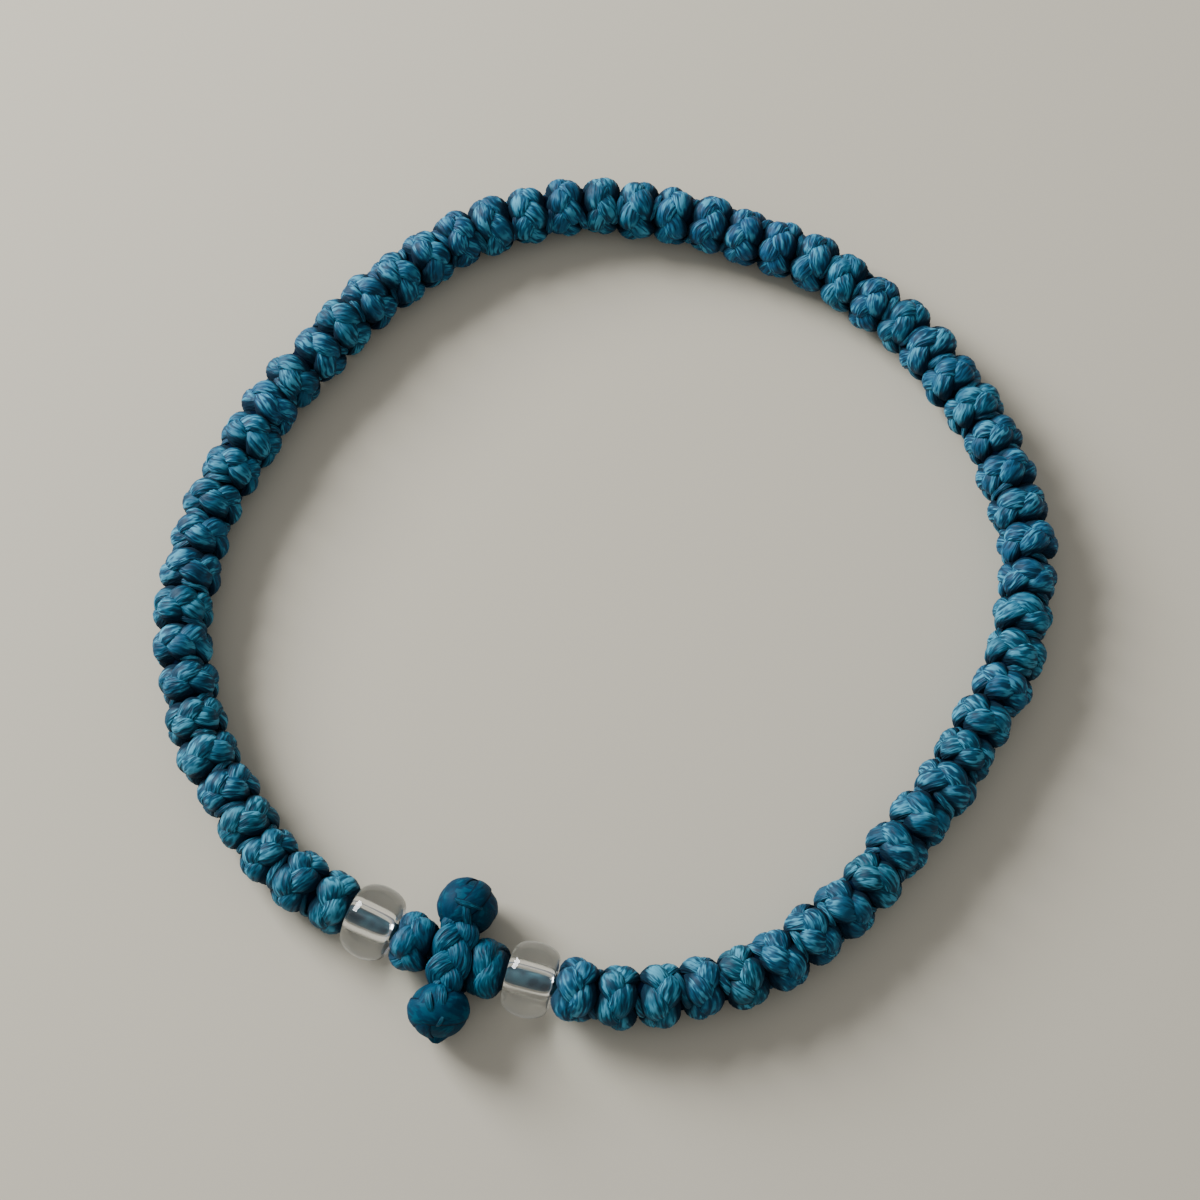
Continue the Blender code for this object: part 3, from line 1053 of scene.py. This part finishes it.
def addBallCore(name, ball, node):
    bm = bmesh.new()
    bmesh.ops.create_uvsphere(
        bm, u_segments=ballSetup["coreSegments"], v_segments=ballSetup["coreRings"],
        radius=ballSetup["coreShare"] / 2,
    )
    bmesh.ops.rotate(bm, verts=bm.verts, matrix=Matrix.Rotation(math.pi / 2, 3, "Y"))
    bmesh.ops.scale(bm, verts=bm.verts, vec=(ball["along"], ball["across"], ball["across"]))
    bmesh.ops.translate(bm, verts=bm.verts, vec=Vector((ball["middle"], 0, ball["across"] / 2)))
    frameTurn = Matrix(crossBasis.tolist()).to_4x4()
    bmesh.ops.transform(bm, verts=bm.verts, matrix=Matrix.Translation(crossMiddle) @ frameTurn)
    core = bpy.data.meshes.new(name)
    bm.to_mesh(core)
    bm.free()
    core.uv_layers.new(name="UVMap")
    # painted shade: the core shows only between the bands, and its lift puts it partly in the
    # crease shade
    setAttribute(core, "shadeLift", np.full(len(core.vertices), ballSetup["coreShadeLift"]))
    setAttribute(core, "tone", np.full(len(core.vertices), ball["tone"]))
    core.shade_smooth()
    addPiece(name, core, woundCord, [node])


def addBall(side, ball):
    node = "cross_ball_" + side
    count = len(ball["bands"])
    under = [(row + 1 - count) * ballSetup["raise"] for row in range(count)]
    over = [ballSetup["strandLevel"]] * len(ball["strands"])
    flatBand = (ballSetup["width"], ballSetup["thickness"])
    roundStrand = (ballSetup["strandWidth"], ballSetup["strandThickness"])
    windBall("ball_winding_" + side, ball, ball["bands"], under, flatBand, woundCord, node)
    windBall("ball_strand_" + side, ball, ball["strands"], over, roundStrand, crossCord, node)
    addBallCore("ball_core_" + side, ball, node)


for side, ball in balls.items():
    addBall(side, ball)

# the pointed end below the outer ball
tipSetup = {
    "width": 2.4 * mm,
    "thickness": 1.7 * mm,
    "from": 4.4 * mm,
    "to": 5.56 * mm,
    "height": 1.8 * mm,
    "drop": 0.15 * mm,
    "sideFrom": 0.156 * mm,
    "sideTo": 0.26 * mm,
    "steps": 26,
    "endShare": 0.14,
    "taper": (1.35, 0.9),
    "shade": 0.3,
    "tone": 0.63,
}


def addTip():
    width, thickness = tipSetup["width"], tipSetup["thickness"]
    reach = tipSetup["to"] - tipSetup["from"]
    early, late = tipSetup["taper"]
    section = strandProfile("tip section", width, thickness, strand["sides"])
    track = []
    for k in range(tipSetup["steps"] + 1):
        t = k / tipSetup["steps"]
        x = tipSetup["from"] + reach * t
        y = tipSetup["sideFrom"] + (tipSetup["sideTo"] - tipSetup["sideFrom"]) * t
        z = tipSetup["height"] - tipSetup["drop"] * t
        size = tipSetup["endShare"] + (1 - tipSetup["endShare"]) * (1 - t**early) ** late
        track.append((x, y, z, size))
    mesh, flat, rows = layStrands("pointed_end", [track], section, capped=True)
    placed = flat @ crossBasis.T + np.array(crossMiddle)
    shadeLift = 1 - (flat[:, 0] - tipSetup["from"]) / reach * tipSetup["shade"]
    girth = math.pi * (width + thickness) / 2
    setStrands(mesh, placed, rows, shadeLift, [tipSetup["tone"]], [reach], girth)
    addPiece("pointed_end", mesh, woundCord, ["cross_ball_outer"])


addTip()

# the glass beads, drilled, with clear elastic through them
beadSetup = {
    "diameter": 4.9 * mm,
    "length": 3.0 * mm,
    "endShare": 0.66,
    "bore": 1.5 * mm,
    "lip": 0.18 * mm,
    "lipSteps": 7,
    "bellySteps": 24,
    "spinSteps": 144,
    "seamWidth": 0.001 * mm,
}
elasticSetup = {"diameter": 1.2 * mm, "reach": 2.25 * mm, "height": 2.25 * mm, "sides": 32}


def beadOutline(setup):
    bore, half, belly = setup["bore"] / 2, setup["length"] / 2, setup["diameter"] / 2
    shoulder = belly * setup["endShare"]
    lip = setup["lip"]
    top = []
    for k in range(setup["lipSteps"]):
        angle = math.pi - math.pi / 2 * k / (setup["lipSteps"] - 1)
        top.append((bore + lip * (1 + math.cos(angle)), half - lip * (1 - math.sin(angle))))
    for k in range(setup["bellySteps"]):
        angle = math.pi / 2 * (1 - k / setup["bellySteps"])
        top.append((shoulder + (belly - shoulder) * math.cos(angle), half * math.sin(angle)))
    return top + [(belly, 0)] + [(radius, -height) for radius, height in reversed(top)]


def turnedAlong(along, height):
    ahead = headingAt(along)
    turn = Matrix.Rotation(math.atan2(ahead.y, ahead.x), 4, "Z")
    return Matrix.Translation(placeAt(along, height)) @ turn @ Matrix.Rotation(math.pi / 2, 4, "Y")


glassLook = {
    "color": (0.97, 0.98, 0.975),
    "shadow": (0.93, 0.94, 0.93),
    "roughness": 0.015,
    "ior": 1.5,
}


def glassMaterial(look):
    material, nodes, links = newMaterial("clear glass")
    shader = nodes["Principled BSDF"]
    shader.inputs["Base Color"].default_value = (*look["color"], 1)
    shader.inputs["Roughness"].default_value = look["roughness"]
    shader.inputs["IOR"].default_value = look["ior"]
    shader.inputs["Transmission Weight"].default_value = 1
    # a lamp's light passes straight through, so the glass casts a pale shadow
    clear = nodes.new("ShaderNodeBsdfTransparent")
    clear.inputs["Color"].default_value = (*look["shadow"], 1)
    path = nodes.new("ShaderNodeLightPath")
    either = nodes.new("ShaderNodeMixShader")
    links.new(path.outputs["Is Shadow Ray"], either.inputs["Fac"])
    links.new(shader.outputs["BSDF"], either.inputs[1])
    links.new(clear.outputs["BSDF"], either.inputs[2])
    links.new(either.outputs["Shader"], nodes["Material Output"].inputs["Surface"])
    return material


# the elastic is clear: in the bore its colour is a painted reflection of the blue cord at both
# ends, in darker and paler patches
elasticReflectionLook = {
    "shaded": (0.003, 0.018, 0.03),
    "pale": (0.04, 0.105, 0.13),
    "shadedTo": 0.38,
    "paleFrom": 0.62,
    "patch": 0.8 * mm,
    "roughness": 0.3,
    "ior": 1.45,
}


def elasticReflectionMaterial(look):
    material, nodes, links = newMaterial("clear elastic")
    shader = nodes["Principled BSDF"]
    shader.inputs["Roughness"].default_value = look["roughness"]
    shader.inputs["IOR"].default_value = look["ior"]
    place = nodes.new("ShaderNodeTexCoord")
    noise = nodes.new("ShaderNodeTexNoise")
    noise.inputs["Scale"].default_value = 1 / look["patch"]
    noise.inputs["Detail"].default_value = 1
    ramp = nodes.new("ShaderNodeValToRGB")
    shaded, pale = ramp.color_ramp.elements
    shaded.position = look["shadedTo"]
    shaded.color = (*look["shaded"], 1)
    pale.position = look["paleFrom"]
    pale.color = (*look["pale"], 1)
    links.new(place.outputs["Object"], noise.inputs["Vector"])
    links.new(noise.outputs["Fac"], ramp.inputs["Fac"])
    links.new(ramp.outputs["Color"], shader.inputs["Base Color"])
    return material


clearGlass = glassMaterial(glassLook)
clearElastic = elasticReflectionMaterial(elasticReflectionLook)


def addBead(side, way):
    outline = beadOutline(beadSetup)
    bm = bmesh.new()
    verts = [bm.verts.new((radius, 0, height)) for radius, height in outline]
    edges = [bm.edges.new((verts[k - 1], verts[k])) for k in range(len(verts))]
    bmesh.ops.spin(
        bm, geom=verts + edges, cent=(0, 0, 0), axis=(0, 0, 1), angle=2 * math.pi,
        steps=beadSetup["spinSteps"], use_merge=True,
    )
    bmesh.ops.remove_doubles(bm, verts=bm.verts, dist=beadSetup["seamWidth"])
    bmesh.ops.recalc_face_normals(bm, faces=bm.faces)
    place = turnedAlong(way * places["bead"], beadSetup["diameter"] / 2)
    bmesh.ops.transform(bm, verts=bm.verts, matrix=place)
    mesh = bpy.data.meshes.new("bead_" + side)
    bm.to_mesh(mesh)
    bm.free()
    mesh.shade_smooth()
    addPiece("bead_" + side, mesh, clearGlass, ["glass_bead_" + side])
    print("bead_" + side, "triangles", len(mesh.polygons) * 2)


def addElastic(side, way):
    bm = bmesh.new()
    radius = elasticSetup["diameter"] / 2
    place = turnedAlong(way * places["bead"], elasticSetup["height"])
    bmesh.ops.create_cone(
        bm, cap_ends=True, segments=elasticSetup["sides"], radius1=radius, radius2=radius,
        depth=2 * elasticSetup["reach"], matrix=place,
    )
    mesh = bpy.data.meshes.new("elastic_" + side)
    bm.to_mesh(mesh)
    bm.free()
    mesh.shade_smooth()
    addPiece("elastic_" + side, mesh, clearElastic, ["elastic_core_" + side])


for side, way in (("right", 1), ("left", -1)):
    addBead(side, way)
    addElastic(side, way)


# floor and light, in metres where no other unit is given
stageSetup = {
    "floorSize": 6,
    "floorDrop": 0.02 * mm,
    "floorColor": (0.655, 0.595, 0.475),
    "floorRoughness": 0.9,
    "keyColor": (0.94, 0.97, 1.0),
    "keyPower": 3.45,
    "keyWidth": 0.20,
    "keyHeight": 0.19,
    "keyAway": 0.42,
    "keyAzimuth": math.radians(143),
    "keyElevation": math.radians(27),
    "skyColor": (0.95, 0.97, 1.0),
    "skyStrength": 0.38,
}


def addFloor(setup):
    bm = bmesh.new()
    bmesh.ops.create_grid(bm, x_segments=1, y_segments=1, size=setup["floorSize"] / 2)
    bmesh.ops.translate(bm, verts=bm.verts, vec=(0, 0, -setup["floorDrop"]))
    mesh = bpy.data.meshes.new("floor")
    bm.to_mesh(mesh)
    bm.free()
    material, nodes, _ = newMaterial("plain floor")
    shader = nodes["Principled BSDF"]
    shader.inputs["Base Color"].default_value = (*setup["floorColor"], 1)
    shader.inputs["Roughness"].default_value = setup["floorRoughness"]
    mesh.materials.append(material)
    floor = bpy.data.objects.new("floor", mesh)
    bpy.context.scene.collection.objects.link(floor)


def addLights(setup):
    lamp = bpy.data.lights.new("window light", "AREA")
    lamp.shape = "RECTANGLE"
    lamp.size = setup["keyWidth"]
    lamp.size_y = setup["keyHeight"]
    lamp.energy = setup["keyPower"]
    lamp.color = setup["keyColor"]
    azimuth, elevation = setup["keyAzimuth"], setup["keyElevation"]
    level = math.cos(elevation)
    towards = Vector((level * math.cos(azimuth), level * math.sin(azimuth), math.sin(elevation)))
    light = bpy.data.objects.new("window light", lamp)
    light.location = towards * setup["keyAway"]
    light.rotation_euler = (-towards).to_track_quat("-Z", "Y").to_euler()
    bpy.context.scene.collection.objects.link(light)
    world = bpy.data.worlds.new("soft room")
    world.use_nodes = True
    sky = world.node_tree.nodes["Background"]
    sky.inputs["Color"].default_value = (*setup["skyColor"], 1)
    sky.inputs["Strength"].default_value = setup["skyStrength"]
    bpy.context.scene.world = world


addFloor(stageSetup)
addLights(stageSetup)
print("floor and light set")

for leftover in list(bench.objects):
    bpy.data.objects.remove(leftover, do_unlink=True)
bpy.data.collections.remove(bench)
